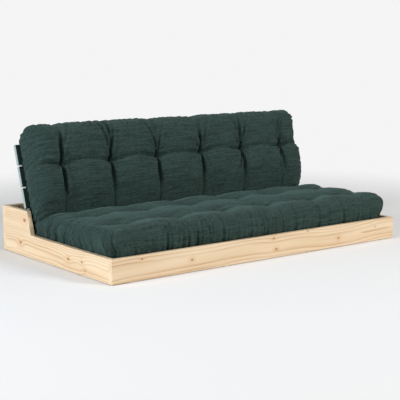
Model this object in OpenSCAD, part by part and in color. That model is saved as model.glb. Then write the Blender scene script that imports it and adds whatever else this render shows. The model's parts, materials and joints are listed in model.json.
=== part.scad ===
// Futon sofa bed: a low pine box, a seat deck that pulls out at the front, a slatted backrest that
// hinges on the deck's rear edge and drops flat into the box as the deck comes out, and a tufted
// futon mattress folded over both.
// X runs along the sofa, +Y to the rear, +Z up. The origin is on the floor under the middle.

/* [Box frame] */
// Overall width across the side panels
frame_w = 2040; // [1700:10:2450]
// Overall depth, front board to rear board
frame_d = 1140; // [1130:5:1370]
// Thickness of the box boards
board_t = 28; // [22:1:34]
// Top of the front board and of the low part of the side panels
low_h = 130; // [110:1:156]
// Top of the rear board and of the high part of the side panels
high_h = 260; // [215:5:300]
// Front face to the foot of the side panels' sloped edge
step_y = 816; // [760:2:880]
// Height of the felt glides under the boards
glide_h = 3; // [2:0.5:5]

/* [Runners] */
// Height of the runner boards that carry the deck
runner_h = 19.5; // [15:0.5:24]
// Width of the runner boards
runner_w = 72; // [66:1:86]
// Width of the tie board across the front ends of the runners
tie_w = 66; // [50:1:80]

/* [Seat deck] */
// Top of the seat slats above the floor
deck_h = 84; // [80:1:100]
// How far the deck pulls out
travel = 505; // [495:5:540]
// Width of a seat slat
seat_slat_w = 95; // [70:1:100]
// Thickness of a seat slat
seat_slat_t = 18; // [15:0.5:20]
// Width of a deck rail
rail_w = 26; // [22:1:30]
// Centre of the inner rails from the middle of the sofa
inner_rail_x = 325; // [240:5:420]

/* [Backrest] */
// Lean of the backrest from upright, in degrees
lean = 17.3; // [14:0.1:21]
// Front of the backrest slats behind the sloped edges, square to them
back_inset = 57; // [45:1:64]
// Pivot to the top edge of the backrest slats
back_len = 586; // [560:2:600]
// Width of a backrest slat
back_slat_w = 115; // [95:1:120]
// Gap between backrest slats
back_slat_gap = 10; // [6:1:16]
// Thickness of a backrest slat
back_slat_t = 24; // [20:1:26]
// Width of a stile
stile_w = 30; // [26:1:34]
// Room between a rail and its stile
hinge_gap = 9; // [8.5:0.5:11]

/* [Mattress] */
// Thickness of the futon
pad_t = 176; // [140:2:184]
// Top of the upright futon above the floor
sofa_h = 725; // [690:5:740]
// Radius of the upright half's top edge
pad_edge_r = 80; // [50:5:84]
// Radius of the seat half's front edge
seat_edge_r = 60; // [40:5:84]
// Tufts along the sofa
tuft_columns = 6; // [4:1:7]
// End of the futon to its first column of tufts
tuft_side = 171; // [120:1:220]
// Back of the front board to the front row of seat tufts
tuft_row_front = 216; // [172:2:272]
// Back of the front board to the rear row of seat tufts
tuft_row_rear = 500; // [412:2:572]
// Pivot line to the row of tufts on the upright futon
back_tuft_u = 396; // [340:2:430]

/* [Hardware] */
// Hinge bolt diameter
bolt_d = 8; // [6:1:8]
// Screw diameter
screw_d = 5; // [4:0.5:5]

/* [Hidden] */
$fn = 48;
// slats of the deck and of the backrest; the node list names this many
seat_slats = 7;
back_slats = 4;
// running clearances and small fits
side_gap = 4;          // moving parts to the side panels
slide_gap = 0.5;       // rail over runner, plate beside plate
butt_gap = 0.3;        // moving front board to the fixed side panels
rest_gap = 0.5;        // futon above the slats
pad_gap = 4;           // futon to the boards around it
fold_gap = 2;          // each half of the futon back from the fold
hole_gap = 0.2;        // added to a screw's diameter for its hole
pivot_gap = 0.1;       // added to the bolt's diameter for its bores

// set-backs and laps of the joinery
tie_setback = 6;       // front tie behind the front board
stile_inset = 22;      // stiles end below the top slat's edge
rail_past_pivot = 18;  // rails run on behind the pivot
crosspiece_ahead = 40; // crosspieces in front of the pivot
slat_clear = 3;        // last seat slat ahead of the stiles
first_slat_gap = 8;    // front board to the first seat slat
block_len = 45;        // stop blocks
block_w = 24;
block_inset = 6;

// box
front_y = -frame_d / 2;
rear_y = frame_d / 2;
inner_x = frame_w / 2 - board_t;
runner_top = glide_h + runner_h;
tie_y = front_y + board_t + tie_setback;
tie_rear_y = tie_y + tie_w;

// deck
rail_z = runner_top + slide_gap;
rail_top = deck_h - seat_slat_t;
outer_rail_x = inner_x - side_gap - rail_w / 2;
rail_xs = [-outer_rail_x, -inner_rail_x, inner_rail_x, outer_rail_x];
deck_half_w = inner_x - side_gap;
deck_front_y = front_y + board_t;

// backrest, measured up the slope (u) and square to it from the pivot
stile_d = deck_h - back_slat_t - rail_z;
pivot_r = back_slat_t + stile_d / 2;
pivot_z = deck_h - pivot_r;
slat_plane_y = front_y + step_y + back_inset / cos(lean) + (pivot_z - low_h) * tan(lean);
pivot_y = slat_plane_y + pivot_r / cos(lean);
back_pitch = back_slat_w + back_slat_gap;
stile_top = back_len - stile_inset;
// the stile stands beside the rail, on the side towards the middle
function stile_x(i) = rail_xs[i] - sign(rail_xs[i]) * (rail_w / 2 + hinge_gap + stile_w / 2);
// x of a face, from the middle of a rail towards the middle of the sofa
function inward(i, d) = rail_xs[i] - sign(rail_xs[i]) * d;

// last seat slat stops clear of the stiles
deck_rear_y = pivot_y - stile_d / 2 / cos(lean) + (rail_top - pivot_z) * tan(lean) - slat_clear;
first_slat_y = deck_front_y + first_slat_gap;
slat_pitch = (deck_rear_y - seat_slat_w - first_slat_y) / (seat_slats - 1);

// fold of the futon: where the deck's top meets the backrest's front plane
fold_y = slat_plane_y + (deck_h - pivot_z) * tan(lean);
mitre = (90 + lean) / 2;                  // fold plane, from either surface
fold_u = (deck_h - pivot_z - pivot_r * sin(lean)) / cos(lean);
seat_pad_len = fold_y - deck_front_y - pad_gap;
back_pad_top = (sofa_h - pivot_z - (pivot_r + pad_t - pad_edge_r) * sin(lean) - pad_edge_r) / cos(lean)
    + pad_edge_r;
pad_w = 2 * (inner_x - pad_gap - 2);
pad_low_r = 40;                           // edge under the futon
tie_d = 3;                                // thread through the futon
tuft_d = 16;
knot_d = 12;
knot_h = 4;
tuft_depth = 26;                          // top of a tuft below the futon's top
well_d = 44;                              // hollow round a tuft
well_depth = 34;

// fasteners
head_d = 2 * screw_d;
board_screw_len = 70;                     // rear board into the side panels
runner_screw_len = 80;                    // rear board into the middle runners
bite = 20;                                // how far a screw goes into the second board
tie_bite = 40;
plate_bite = 16;
slat_screw_len = deck_h - pivot_z - screw_d / 2; // down to the ratchet plates' screws
glide_d = 30;
side_glide_d = board_t - 4;
rear_screw_zs = [for (z = [45, 115, 185, 235]) z * high_h / 260];
head_t = 3;
bolt_head_d = 20;
bolt_head_t = 4;
washer_d = 24;
washer_t = 1.5;
nut_t = 6.5;
plate_t = (hinge_gap - 1) / 2;            // two plates fill the hinge gap, 1 mm apart
plate_len = 150;
plate_h = 26;
plate_r = 17;
plate_first = 60;                         // pivot to the plates' first screws
plate_end = 20;                           // last screws from the plates' ends
bracket_t = 3;
bracket_leg = 46;
bracket_h = 30;

// ---- shared shapes ----

// a block between two corners
module block(a, b) {
    translate(a)
        cube(b - a);
}

// an outline drawn in (Y, Z), extruded along X and centred on x
module side_profile(points, x, w) {
    translate([x, 0, 0])
        rotate([90, 0, 90])
            linear_extrude(height = w, center = true)
                polygon(points);
}

// a rod along X between two x values, centred on (y, z)
module rod_x(x1, x2, y, z, d) {
    translate([min(x1, x2), y, z])
        rotate([0, 90, 0])
            cylinder(d = d, h = abs(x2 - x1));
}

// a screw that hangs down from its head's flat top at z = 0
module screw(len, slack = 0) {
    translate([0, 0, -head_t])
        cylinder(d = head_d + slack, h = head_t + slack / 2);
    translate([0, 0, -len - slack])
        cylinder(d = screw_d + slack, h = len);
}

// places children in the backrest's own axes: pivot at the origin, Z up the slope, -Y to the front
module in_back() {
    translate([0, pivot_y, pivot_z])
        rotate([-lean, 0, 0])
            children();
}

// ---- fixed box ----

module side_panel(side) {
    y1 = front_y + board_t + butt_gap;
    y2 = rear_y - board_t;
    foot = front_y + step_y;
    head = foot + (high_h - low_h) * tan(lean);
    color("burlywood")
        difference() {
            side_profile(
                [[y1, glide_h], [y2, glide_h], [y2, high_h], [head, high_h], [foot, low_h], [y1, low_h]],
                side * (inner_x + board_t / 2), board_t);
            rear_screw_places(hole_gap);
            side_runner_screw_places(hole_gap);
        }
}

module rear_board() {
    color("burlywood")
        difference() {
            block([-frame_w / 2, rear_y - board_t, glide_h], [frame_w / 2, rear_y, high_h]);
            rear_screw_places(hole_gap);
        }
}

module side_runner(side) {
    inner = side * (inner_x - runner_w);
    outer = side * inner_x;
    color("burlywood")
        difference() {
            block([min(inner, outer), tie_y, glide_h], [max(inner, outer), rear_y - board_t, runner_top]);
            side_runner_screw_places(hole_gap);
            tie_screw_places(hole_gap);
        }
}

// the middle runner lies under an inner rail and its stile
function middle_runner_x(side) = side * (inner_rail_x + rail_w / 2 - runner_w / 2);

module middle_runner(side) {
    x = middle_runner_x(side);
    color("burlywood")
        difference() {
            block([x - runner_w / 2, tie_rear_y, glide_h],
                  [x + runner_w / 2, rear_y - board_t, runner_top]);
            rear_screw_places(hole_gap);
            tie_screw_places(hole_gap);
        }
}

module front_tie() {
    half = inner_x - runner_w;
    color("burlywood")
        difference() {
            block([-half, tie_y, glide_h], [half, tie_rear_y, runner_top]);
            tie_screw_places(hole_gap);
        }
}

// through the rear board into the side panels and the middle runners
module rear_screw_places(slack) {
    for (side = [-1, 1]) {
        for (z = rear_screw_zs)
            translate([side * (inner_x + board_t / 2), rear_y, z])
                rotate([-90, 0, 0])
                    screw(board_screw_len, slack);
        translate([middle_runner_x(side), rear_y, glide_h + runner_h / 2])
            rotate([-90, 0, 0])
                screw(runner_screw_len, slack);
    }
}

// through the side runners into the side panels
module side_runner_screw_places(slack) {
    first = tie_y + 120;
    last = rear_y - board_t - 60;
    for (side = [-1, 1])
        for (i = [0 : 4])
            translate([side * (inner_x - runner_w), first + i * (last - first) / 4, glide_h + runner_h / 2])
                rotate([0, side * -90, 0])
                    screw(runner_w + plate_bite, slack);
}

// through the front tie into the middle runners
module tie_screw_places(slack) {
    for (side = [-1, 1])
        translate([middle_runner_x(side), tie_y, glide_h + runner_h / 2])
            rotate([90, 0, 0])
                screw(tie_w + tie_bite, slack);
}

module rear_board_screws() {
    color("silver")
        rear_screw_places(0);
}

module side_runner_screws() {
    color("silver")
        side_runner_screw_places(0);
}

module tie_screws() {
    color("silver")
        tie_screw_places(0);
}

module floor_glides() {
    color("dimgray") {
        for (side = [-1, 1]) {
            for (y = [front_y + 90, front_y + frame_d / 2, rear_y - 90])
                translate([side * (inner_x + board_t / 2), y, 0])
                    cylinder(d = side_glide_d, h = glide_h);
            for (y = [tie_rear_y + 60, front_y + frame_d / 2, rear_y - 150])
                translate([middle_runner_x(side), y, 0])
                    cylinder(d = glide_d, h = glide_h);
        }
        translate([0, rear_y - board_t / 2, 0])
            cylinder(d = side_glide_d, h = glide_h);
        translate([0, tie_y + tie_w / 2, 0])
            cylinder(d = glide_d, h = glide_h);
    }
}

// ---- seat deck ----

module front_board() {
    color("burlywood")
        difference() {
            block([-frame_w / 2, front_y, glide_h], [frame_w / 2, deck_front_y, low_h]);
            for (i = [0 : 3])
                bracket_screw_places(i, hole_gap);
        }
}

module front_glides() {
    color("dimgray")
        for (x = [-0.45, -0.15, 0.15, 0.45] * frame_w)
            translate([x, front_y + board_t / 2, 0])
                cylinder(d = side_glide_d, h = glide_h);
}

module seat_rail(i) {
    x = rail_xs[i];
    rear = pivot_y + rail_past_pivot;
    color("burlywood")
        difference() {
            block([x - rail_w / 2, deck_front_y, rail_z], [x + rail_w / 2, rear, rail_top]);
            // pivot bore, and the seat for the bolt's head on the outer side
            rod_x(x - rail_w / 2 - 1, x + rail_w / 2 + 1, pivot_y, pivot_z, bolt_d + pivot_gap);
            rod_x(inward(i, -rail_w / 2 - 1), inward(i, -rail_w / 2 + bolt_head_t),
                  pivot_y, pivot_z, bolt_head_d + 1);
            seat_slat_screw_places(hole_gap);
            bracket_screw_places(i, hole_gap);
            seat_plate_screw_places(i, hole_gap);
        }
}

// ties between neighbouring rails, just in front of the stiles
module seat_crosspiece(i) {
    y2 = pivot_y - crosspiece_ahead;
    a = rail_xs[i] + rail_w / 2;
    b = rail_xs[i + 1] - rail_w / 2;
    // beside an outer rail the ratchet plate takes up part of the gap
    left = i == 0 ? plate_t + slide_gap : 0;
    right = i == 2 ? plate_t + slide_gap : 0;
    color("burlywood")
        block([a + left, y2 - board_t, rail_z], [b - right, y2, rail_top]);
}

module seat_slat(n) {
    y = first_slat_y + (n - 1) * slat_pitch;
    color("burlywood")
        difference() {
            block([-deck_half_w, y, rail_top], [deck_half_w, y + seat_slat_w, deck_h]);
            seat_slat_screw_places(hole_gap, n);
        }
}

// one screw at each crossing of a slat and a rail
module seat_slat_screw_places(slack, only = 0) {
    for (n = [1 : seat_slats])
        if (only == 0 || only == n)
            for (x = rail_xs)
                translate([x, first_slat_y + (n - 1) * slat_pitch + seat_slat_w / 2, deck_h])
                    screw(slat_screw_len, slack);
}

module seat_slat_screws() {
    color("silver")
        seat_slat_screw_places(0);
}

// steel angles that join the front board to the inward side of each rail
module front_bracket(i) {
    z = (rail_z + rail_top) / 2;
    s = sign(rail_xs[i]);
    x1 = inward(i, rail_w / 2);
    x2 = x1 - s * bracket_leg;
    x3 = x1 - s * bracket_t;
    difference() {
        union() {
            block([min(x1, x2), deck_front_y, z - bracket_h / 2],
                  [max(x1, x2), deck_front_y + bracket_t, z + bracket_h / 2]);
            block([min(x1, x3), deck_front_y, z - bracket_h / 2],
                  [max(x1, x3), deck_front_y + bracket_leg, z + bracket_h / 2]);
        }
        bracket_screw_places(i, hole_gap);
    }
}

module bracket_screw_places(i, slack) {
    z = (rail_z + rail_top) / 2;
    s = sign(rail_xs[i]);
    translate([inward(i, rail_w / 2) - s * bracket_leg * 0.65, deck_front_y + bracket_t + head_t, z])
        rotate([-90, 0, 0])
            screw(bracket_t + head_t + bite - 2, slack);
    translate([inward(i, rail_w / 2) - s * (bracket_t + head_t), deck_front_y + bracket_leg * 0.65, z])
        rotate([0, -s * 90, 0])
            screw(bracket_t + head_t + bite - 2, slack);
}

module front_brackets() {
    color("silver")
        for (i = [0 : 3])
            front_bracket(i);
}

module bracket_screws() {
    color("silver")
        for (i = [0 : 3])
            bracket_screw_places(i, 0);
}

// blocks on the inner rails that meet the front tie when the deck is fully out
module stop_blocks() {
    y = tie_rear_y + travel + 1;
    color("burlywood")
        for (side = [-1, 1]) {
            x = side * (inner_rail_x + rail_w / 2);
            block([min(x, x + side * block_w), y, glide_h + block_inset],
                  [max(x, x + side * block_w), y + block_len, rail_top - block_inset]);
        }
}

// ---- hinge between deck and backrest ----

// a bolt head seated in the rail's outer side, and its shank through the stile
module hinge_bolts() {
    color("silver")
        for (i = [0 : 3]) {
            end = stile_w + hinge_gap + rail_w / 2;
            rod_x(inward(i, -rail_w / 2 + 0.5), inward(i, -rail_w / 2 + bolt_head_t),
                  pivot_y, pivot_z, bolt_head_d);
            rod_x(inward(i, -rail_w / 2 + bolt_head_t), inward(i, end + washer_t + nut_t + 2),
                  pivot_y, pivot_z, bolt_d);
        }
}

// thin washers beside the stile: one on each side at the inner rails, the nut's at every rail
module hinge_washers() {
    end = stile_w + hinge_gap + rail_w / 2;
    color("silver")
        for (i = [0 : 3])
            difference() {
                union() {
                    rod_x(inward(i, end), inward(i, end + washer_t), pivot_y, pivot_z, washer_d);
                    if (abs(rail_xs[i]) < outer_rail_x)
                        rod_x(inward(i, rail_w / 2 + 1), inward(i, rail_w / 2 + hinge_gap),
                              pivot_y, pivot_z, washer_d);
                }
                rod_x(inward(i, 0), inward(i, end + 2 * washer_t), pivot_y, pivot_z, bolt_d + pivot_gap);
            }
}

module hinge_nuts() {
    end = stile_w + hinge_gap + rail_w / 2 + washer_t;
    color("silver")
        for (i = [0 : 3])
            difference() {
                translate([min(inward(i, end), inward(i, end + nut_t)), pivot_y, pivot_z])
                    rotate([0, 90, 0])
                        cylinder(d = bolt_d * 1.8, h = nut_t, $fn = 6);
                rod_x(inward(i, end - 1), inward(i, end + nut_t + 1), pivot_y, pivot_z, bolt_d + pivot_gap);
            }
}

// a ratchet plate: a disc on the pivot and an arm along +Z
module ratchet_plate(x1, x2) {
    difference() {
        union() {
            rod_x(x1, x2, 0, 0, 2 * plate_r);
            block([min(x1, x2), -plate_h / 2, 0], [max(x1, x2), plate_h / 2, plate_len]);
        }
        rod_x(x1 - 5, x2 + 5, 0, 0, bolt_d + pivot_gap);
    }
}

module seat_plate_screw_places(i, slack) {
    if (abs(rail_xs[i]) == outer_rail_x)
        for (d = [plate_first, plate_len - plate_end])
            translate([inward(i, rail_w / 2 + plate_t), pivot_y - d, pivot_z])
                rotate([0, -sign(rail_xs[i]) * 90, 0])
                    screw(plate_t + plate_bite, slack);
}

module ratchet_seat_plates() {
    color("silver")
        for (i = [0, 3])
            difference() {
                translate([0, pivot_y, pivot_z])
                    rotate([90, 0, 0])
                        ratchet_plate(inward(i, rail_w / 2), inward(i, rail_w / 2 + plate_t));
                seat_plate_screw_places(i, hole_gap);
            }
}

module seat_plate_screws() {
    color("silver")
        for (i = [0, 3])
            seat_plate_screw_places(i, 0);
}

// drawn in the backrest's own axes
module back_plate_screw_places(i, slack) {
    if (abs(rail_xs[i]) == outer_rail_x)
        for (d = [plate_first, plate_len - plate_end])
            translate([inward(i, rail_w / 2 + hinge_gap - plate_t), 0, d])
                rotate([0, sign(rail_xs[i]) * 90, 0])
                    screw(plate_t + plate_bite, slack);
}

module ratchet_back_plates() {
    color("silver")
        in_back()
            for (i = [0, 3])
                difference() {
                    ratchet_plate(inward(i, rail_w / 2 + hinge_gap - plate_t),
                                  inward(i, rail_w / 2 + hinge_gap));
                    back_plate_screw_places(i, hole_gap);
                }
}

module back_plate_screws() {
    color("silver")
        in_back()
            for (i = [0, 3])
                back_plate_screw_places(i, 0);
}

// ---- backrest ----

module back_stile(i) {
    x = stile_x(i);
    color("darkslategray")
        in_back()
            difference() {
                union() {
                    block([x - stile_w / 2, -stile_d / 2, 0], [x + stile_w / 2, stile_d / 2, stile_top]);
                    rod_x(x - stile_w / 2, x + stile_w / 2, 0, 0, stile_d);
                }
                rod_x(x - stile_w, x + stile_w, 0, 0, bolt_d + pivot_gap);
                back_slat_screw_places(hole_gap);
                back_plate_screw_places(i, hole_gap);
            }
}

// slat 1 is the top one; drawn in the backrest's own axes
function back_slat_z(n) = back_len - (n - 1) * back_pitch - back_slat_w;

module back_slat(n) {
    color("darkslategray")
        in_back()
            difference() {
                block([-deck_half_w, -pivot_r, back_slat_z(n)],
                      [deck_half_w, -pivot_r + back_slat_t, back_slat_z(n) + back_slat_w]);
                back_slat_screw_places(hole_gap, n);
            }
}

module back_slat_screw_places(slack, only = 0) {
    for (n = [1 : back_slats])
        if (only == 0 || only == n)
            for (i = [0 : 3])
                translate([stile_x(i), -pivot_r, back_slat_z(n) + back_slat_w / 2])
                    rotate([90, 0, 0])
                        screw(back_slat_t + bite, slack);
}

module back_slat_screws() {
    color("silver")
        in_back()
            back_slat_screw_places(0);
}

// ---- futon ----

// points of an arc, angles in degrees
function arc(cx, cy, r, a1, a2, n = 8) =
    [for (i = [0 : n]) [cx + r * cos(a1 + (a2 - a1) * i / n), cy + r * sin(a1 + (a2 - a1) * i / n)]];

// one half of the futon from the fold to its long edge: (distance from the fold, height off the slats)
module pad_half(len, edge_r) {
    linear_extrude(height = pad_w, center = true)
        polygon(concat(
            [[fold_gap / sin(mitre) + rest_gap / tan(mitre), rest_gap]],
            arc(len - pad_low_r, rest_gap + pad_low_r, pad_low_r, -90, 0),
            arc(len - edge_r, pad_t - edge_r, edge_r, 0, 90),
            [[fold_gap / sin(mitre) + pad_t / tan(mitre), pad_t]]));
}

// a tie through the futon: a tuft at the top, a knot underneath
module tuft_tie() {
    cylinder(d = tie_d, h = pad_t - tuft_depth);
    translate([0, 0, pad_t - tuft_depth - knot_h])
        cylinder(d = tuft_d, h = 2 * knot_h);
    cylinder(d = knot_d, h = knot_h);
}

// room for the ties, with a shallow well round each tuft
module tuft_well() {
    translate([0, 0, -1])
        cylinder(d = knot_d + 2, h = pad_t + 2);
    translate([0, 0, pad_t - well_depth])
        cylinder(d = well_d, h = well_depth + knot_h);
}

tuft_pitch = (pad_w - 2 * tuft_side) / max(1, tuft_columns - 1);
tuft_xs = [for (c = [0 : tuft_columns - 1]) (c - (tuft_columns - 1) / 2) * tuft_pitch];

module seat_tuft_places() {
    for (x = tuft_xs)
        for (y = [tuft_row_front, tuft_row_rear])
            translate([x, deck_front_y + y, deck_h + rest_gap])
                children();
}

module back_tuft_places() {
    in_back()
        for (x = tuft_xs)
            translate([x, -pivot_r - rest_gap, back_tuft_u])
                rotate([90, 0, 0])
                    children();
}

module seat_mattress() {
    color("darkslategray")
        difference() {
            translate([0, fold_y, deck_h])
                rotate([90, 0, -90])
                    pad_half(seat_pad_len, seat_edge_r);
            seat_tuft_places()
                tuft_well();
        }
}

module seat_tuft_ties() {
    color("darkgreen")
        seat_tuft_places()
            tuft_tie();
}

module back_mattress() {
    color("darkslategray")
        difference() {
            in_back()
                translate([0, -pivot_r, fold_u])
                    mirror([0, 1, 0])
                        rotate([0, -90, 0])
                            pad_half(back_pad_top - fold_u, pad_edge_r);
            back_tuft_places()
                tuft_well();
        }
}

module back_tuft_ties() {
    color("darkgreen")
        back_tuft_places()
            tuft_tie();
}

// ---- nodes ----

side_panel(-1);  // side_panel_left
side_panel(1);  // side_panel_right
rear_board();
side_runner(-1);  // side_runner_left
side_runner(1);  // side_runner_right
middle_runner(-1);  // middle_runner_left
middle_runner(1);  // middle_runner_right
front_tie();
rear_board_screws();
side_runner_screws();
tie_screws();
floor_glides();
front_board();
front_glides();
for (i = [0 : 3])
    seat_rail(i);
seat_crosspiece(0);  // seat_crosspiece_left
seat_crosspiece(1);  // seat_crosspiece_middle
seat_crosspiece(2);  // seat_crosspiece_right
for (n = [1 : seat_slats])
    seat_slat(n);
seat_slat_screws();
front_brackets();
bracket_screws();
stop_blocks();
hinge_bolts();
ratchet_seat_plates();
seat_plate_screws();
hinge_washers();
hinge_nuts();
ratchet_back_plates();
back_plate_screws();
for (i = [0 : 3])
    back_stile(i);
for (n = [1 : back_slats])
    back_slat(n);
back_slat_screws();
seat_mattress();
seat_tuft_ties();
back_mattress();
back_tuft_ties();
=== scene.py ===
import json
import math

import bmesh
import bpy
import numpy as np
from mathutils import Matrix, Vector

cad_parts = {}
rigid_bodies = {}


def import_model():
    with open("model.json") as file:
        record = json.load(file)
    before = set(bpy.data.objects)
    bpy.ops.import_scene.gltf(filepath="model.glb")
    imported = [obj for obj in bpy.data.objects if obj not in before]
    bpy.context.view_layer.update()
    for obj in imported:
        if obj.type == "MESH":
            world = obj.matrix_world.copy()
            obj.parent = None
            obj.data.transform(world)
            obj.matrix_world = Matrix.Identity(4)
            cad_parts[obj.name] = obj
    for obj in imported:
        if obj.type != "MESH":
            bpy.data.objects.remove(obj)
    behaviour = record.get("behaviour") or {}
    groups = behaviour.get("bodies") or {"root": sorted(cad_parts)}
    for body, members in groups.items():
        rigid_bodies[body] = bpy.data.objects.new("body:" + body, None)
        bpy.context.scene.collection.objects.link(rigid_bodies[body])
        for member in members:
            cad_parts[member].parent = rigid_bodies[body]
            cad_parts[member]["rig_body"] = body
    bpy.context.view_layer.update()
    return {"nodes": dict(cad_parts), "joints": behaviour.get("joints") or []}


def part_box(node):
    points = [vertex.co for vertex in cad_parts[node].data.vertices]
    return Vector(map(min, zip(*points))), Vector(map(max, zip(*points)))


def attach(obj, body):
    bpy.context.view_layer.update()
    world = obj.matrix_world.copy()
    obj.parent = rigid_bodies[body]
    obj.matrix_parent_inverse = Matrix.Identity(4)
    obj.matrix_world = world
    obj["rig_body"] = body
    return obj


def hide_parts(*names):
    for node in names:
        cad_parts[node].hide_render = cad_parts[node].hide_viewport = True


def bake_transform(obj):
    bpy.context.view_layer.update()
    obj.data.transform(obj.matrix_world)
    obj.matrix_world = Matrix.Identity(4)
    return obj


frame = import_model()
nodes = frame["nodes"]
hinge = next(j for j in frame["joints"] if j["type"] == "hinge")
slide = next(j for j in frame["joints"] if j["type"] == "slide")
print("frame loaded,", len(nodes), "nodes")


# small helpers for shader trees

class Tree:
    # wraps a node tree so that a node is one call
    def __init__(self, tree):
        self.tree = tree

    def node(self, kind, values=None, **settings):
        made = self.tree.nodes.new(kind)
        for name, value in settings.items():
            setattr(made, name, value)
        for key, value in (values or {}).items():
            self.feed(made.inputs[key], value)
        return made

    def feed(self, socket, value):
        if isinstance(value, bpy.types.NodeSocket):
            self.tree.links.new(value, socket)
        else:
            socket.default_value = value

    def math(self, operation, a, b=0.0, clamp=False):
        made = self.node("ShaderNodeMath", operation=operation, use_clamp=clamp)
        self.feed(made.inputs[0], a)
        self.feed(made.inputs[1], b)
        return made.outputs[0]

    def vector(self, operation, a, b=(0.0, 0.0, 0.0)):
        made = self.node("ShaderNodeVectorMath", operation=operation)
        self.feed(made.inputs[0], a)
        self.feed(made.inputs[1], b)
        return made.outputs["Value" if operation in ("LENGTH", "DOT_PRODUCT") else "Vector"]

    def mix(self, factor, a, b, blend="MIX"):
        made = self.node("ShaderNodeMix", data_type="RGBA", blend_type=blend)
        self.feed(made.inputs[0], factor)
        self.feed(made.inputs[6], a)
        self.feed(made.inputs[7], b)
        return made.outputs[2]

    def rescale(self, value, low, high, toLow=0.0, toHigh=1.0, smooth=False):
        made = self.node("ShaderNodeMapRange", interpolation_type="SMOOTHSTEP" if smooth else "LINEAR")
        for i, v in enumerate((value, low, high, toLow, toHigh)):
            self.feed(made.inputs[i], v)
        return made.outputs[0]

    def noise(self, where, scale, detail=2.0, roughness=0.5):
        made = self.node("ShaderNodeTexNoise", {"Vector": where, "Scale": scale, "Detail": detail,
                                                "Roughness": roughness})
        return made.outputs["Fac"]

    def bump(self, height, strength, distance):
        made = self.node("ShaderNodeBump", {"Height": height, "Strength": strength, "Distance": distance})
        return made.outputs["Normal"]

    def group(self, tree, values=None, **more):
        made = self.node("ShaderNodeGroup")
        made.node_tree = tree
        for name, value in {**(values or {}), **more}.items():
            self.feed(made.inputs[name], value)
        return made.outputs


def newGroup(name, inputs, outputs):
    # inputs and outputs are (name, kind, default); returns the tree with its two ends
    group = bpy.data.node_groups.new(name, "ShaderNodeTree")
    kinds = {"value": "NodeSocketFloat", "vector": "NodeSocketVector", "colour": "NodeSocketColor"}
    for title, kind, default in inputs:
        socket = group.interface.new_socket(name=title, in_out="INPUT", socket_type=kinds[kind])
        if default is not None:
            socket.default_value = default
    for title, kind in outputs:
        group.interface.new_socket(name=title, in_out="OUTPUT", socket_type=kinds[kind])
    tree = Tree(group)
    return tree, tree.node("NodeGroupInput").outputs, tree.node("NodeGroupOutput").inputs


def newMaterial(name):
    made = bpy.data.materials.new(name)
    made.use_nodes = True
    made.node_tree.nodes.clear()
    tree = Tree(made.node_tree)
    shader = tree.node("ShaderNodeBsdfPrincipled")
    out = tree.node("ShaderNodeOutputMaterial")
    tree.feed(out.inputs["Surface"], shader.outputs[0])
    return made, tree, shader.inputs


def setSockets(sockets, values):
    for name, value in values.items():
        sockets[name].default_value = value


# shared effects

def makeGrowthLines():
    # year rings of a flat sawn board: x runs along the grain, y across, z into the face
    tree, given, result = newGroup(
        "growthLines",
        [("Vector", "vector", None), ("Ring Width", "value", 0.007), ("Wander", "value", 0.03),
         ("Pith Height", "value", 0.06), ("Pith Depth", "value", 0.045), ("Push", "value", 0.0),
         ("Seed", "value", 0.0)],
        [("Line", "value"), ("Tone", "value"), ("Fibre", "value")])
    shift = tree.node("ShaderNodeCombineXYZ", {0: given["Seed"], 1: given["Seed"], 2: given["Seed"]})
    where = tree.vector("ADD", given["Vector"], shift.outputs[0])
    stretched = tree.vector("MULTIPLY", where, (0.09, 1.0, 1.0))
    wide = tree.noise(stretched, 9.0, 3.0, 0.55)
    slow = tree.noise(tree.vector("MULTIPLY", where, (1.0, 0.0, 0.0)), 1.7, 1.0, 0.4)
    parts = tree.node("ShaderNodeSeparateXYZ", {0: given["Vector"]})
    across = tree.math("SUBTRACT", parts.outputs[1], given["Pith Height"])
    across = tree.math("ADD", across, tree.math("MULTIPLY", tree.math("SUBTRACT", slow, 0.5), 0.09))
    depth = tree.math("SUBTRACT", parts.outputs[2], given["Pith Depth"])
    strayed = tree.math("MULTIPLY", tree.math("SUBTRACT", wide, 0.5), given["Wander"])
    depth = tree.math("ADD", depth, strayed)
    radius = tree.math("SQRT", tree.math("ADD", tree.math("MULTIPLY", across, across),
                                         tree.math("MULTIPLY", depth, depth)))
    radius = tree.math("ADD", radius, given["Push"])
    phase = tree.math("FRACT", tree.math("DIVIDE", radius, given["Ring Width"]))
    line = tree.math("POWER", phase, 2.6)
    fade = tree.rescale(phase, 0.93, 1.0, 1.0, 0.0)
    fine = tree.noise(tree.vector("MULTIPLY", where, (3.0, 260.0, 260.0)), 1.0, 2.0, 0.6)
    tree.feed(result["Line"], tree.math("MULTIPLY", line, fade))
    tree.feed(result["Tone"], tree.noise(stretched, 17.0, 2.0, 0.5))
    tree.feed(result["Fibre"], fine)
    return tree.tree


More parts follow.
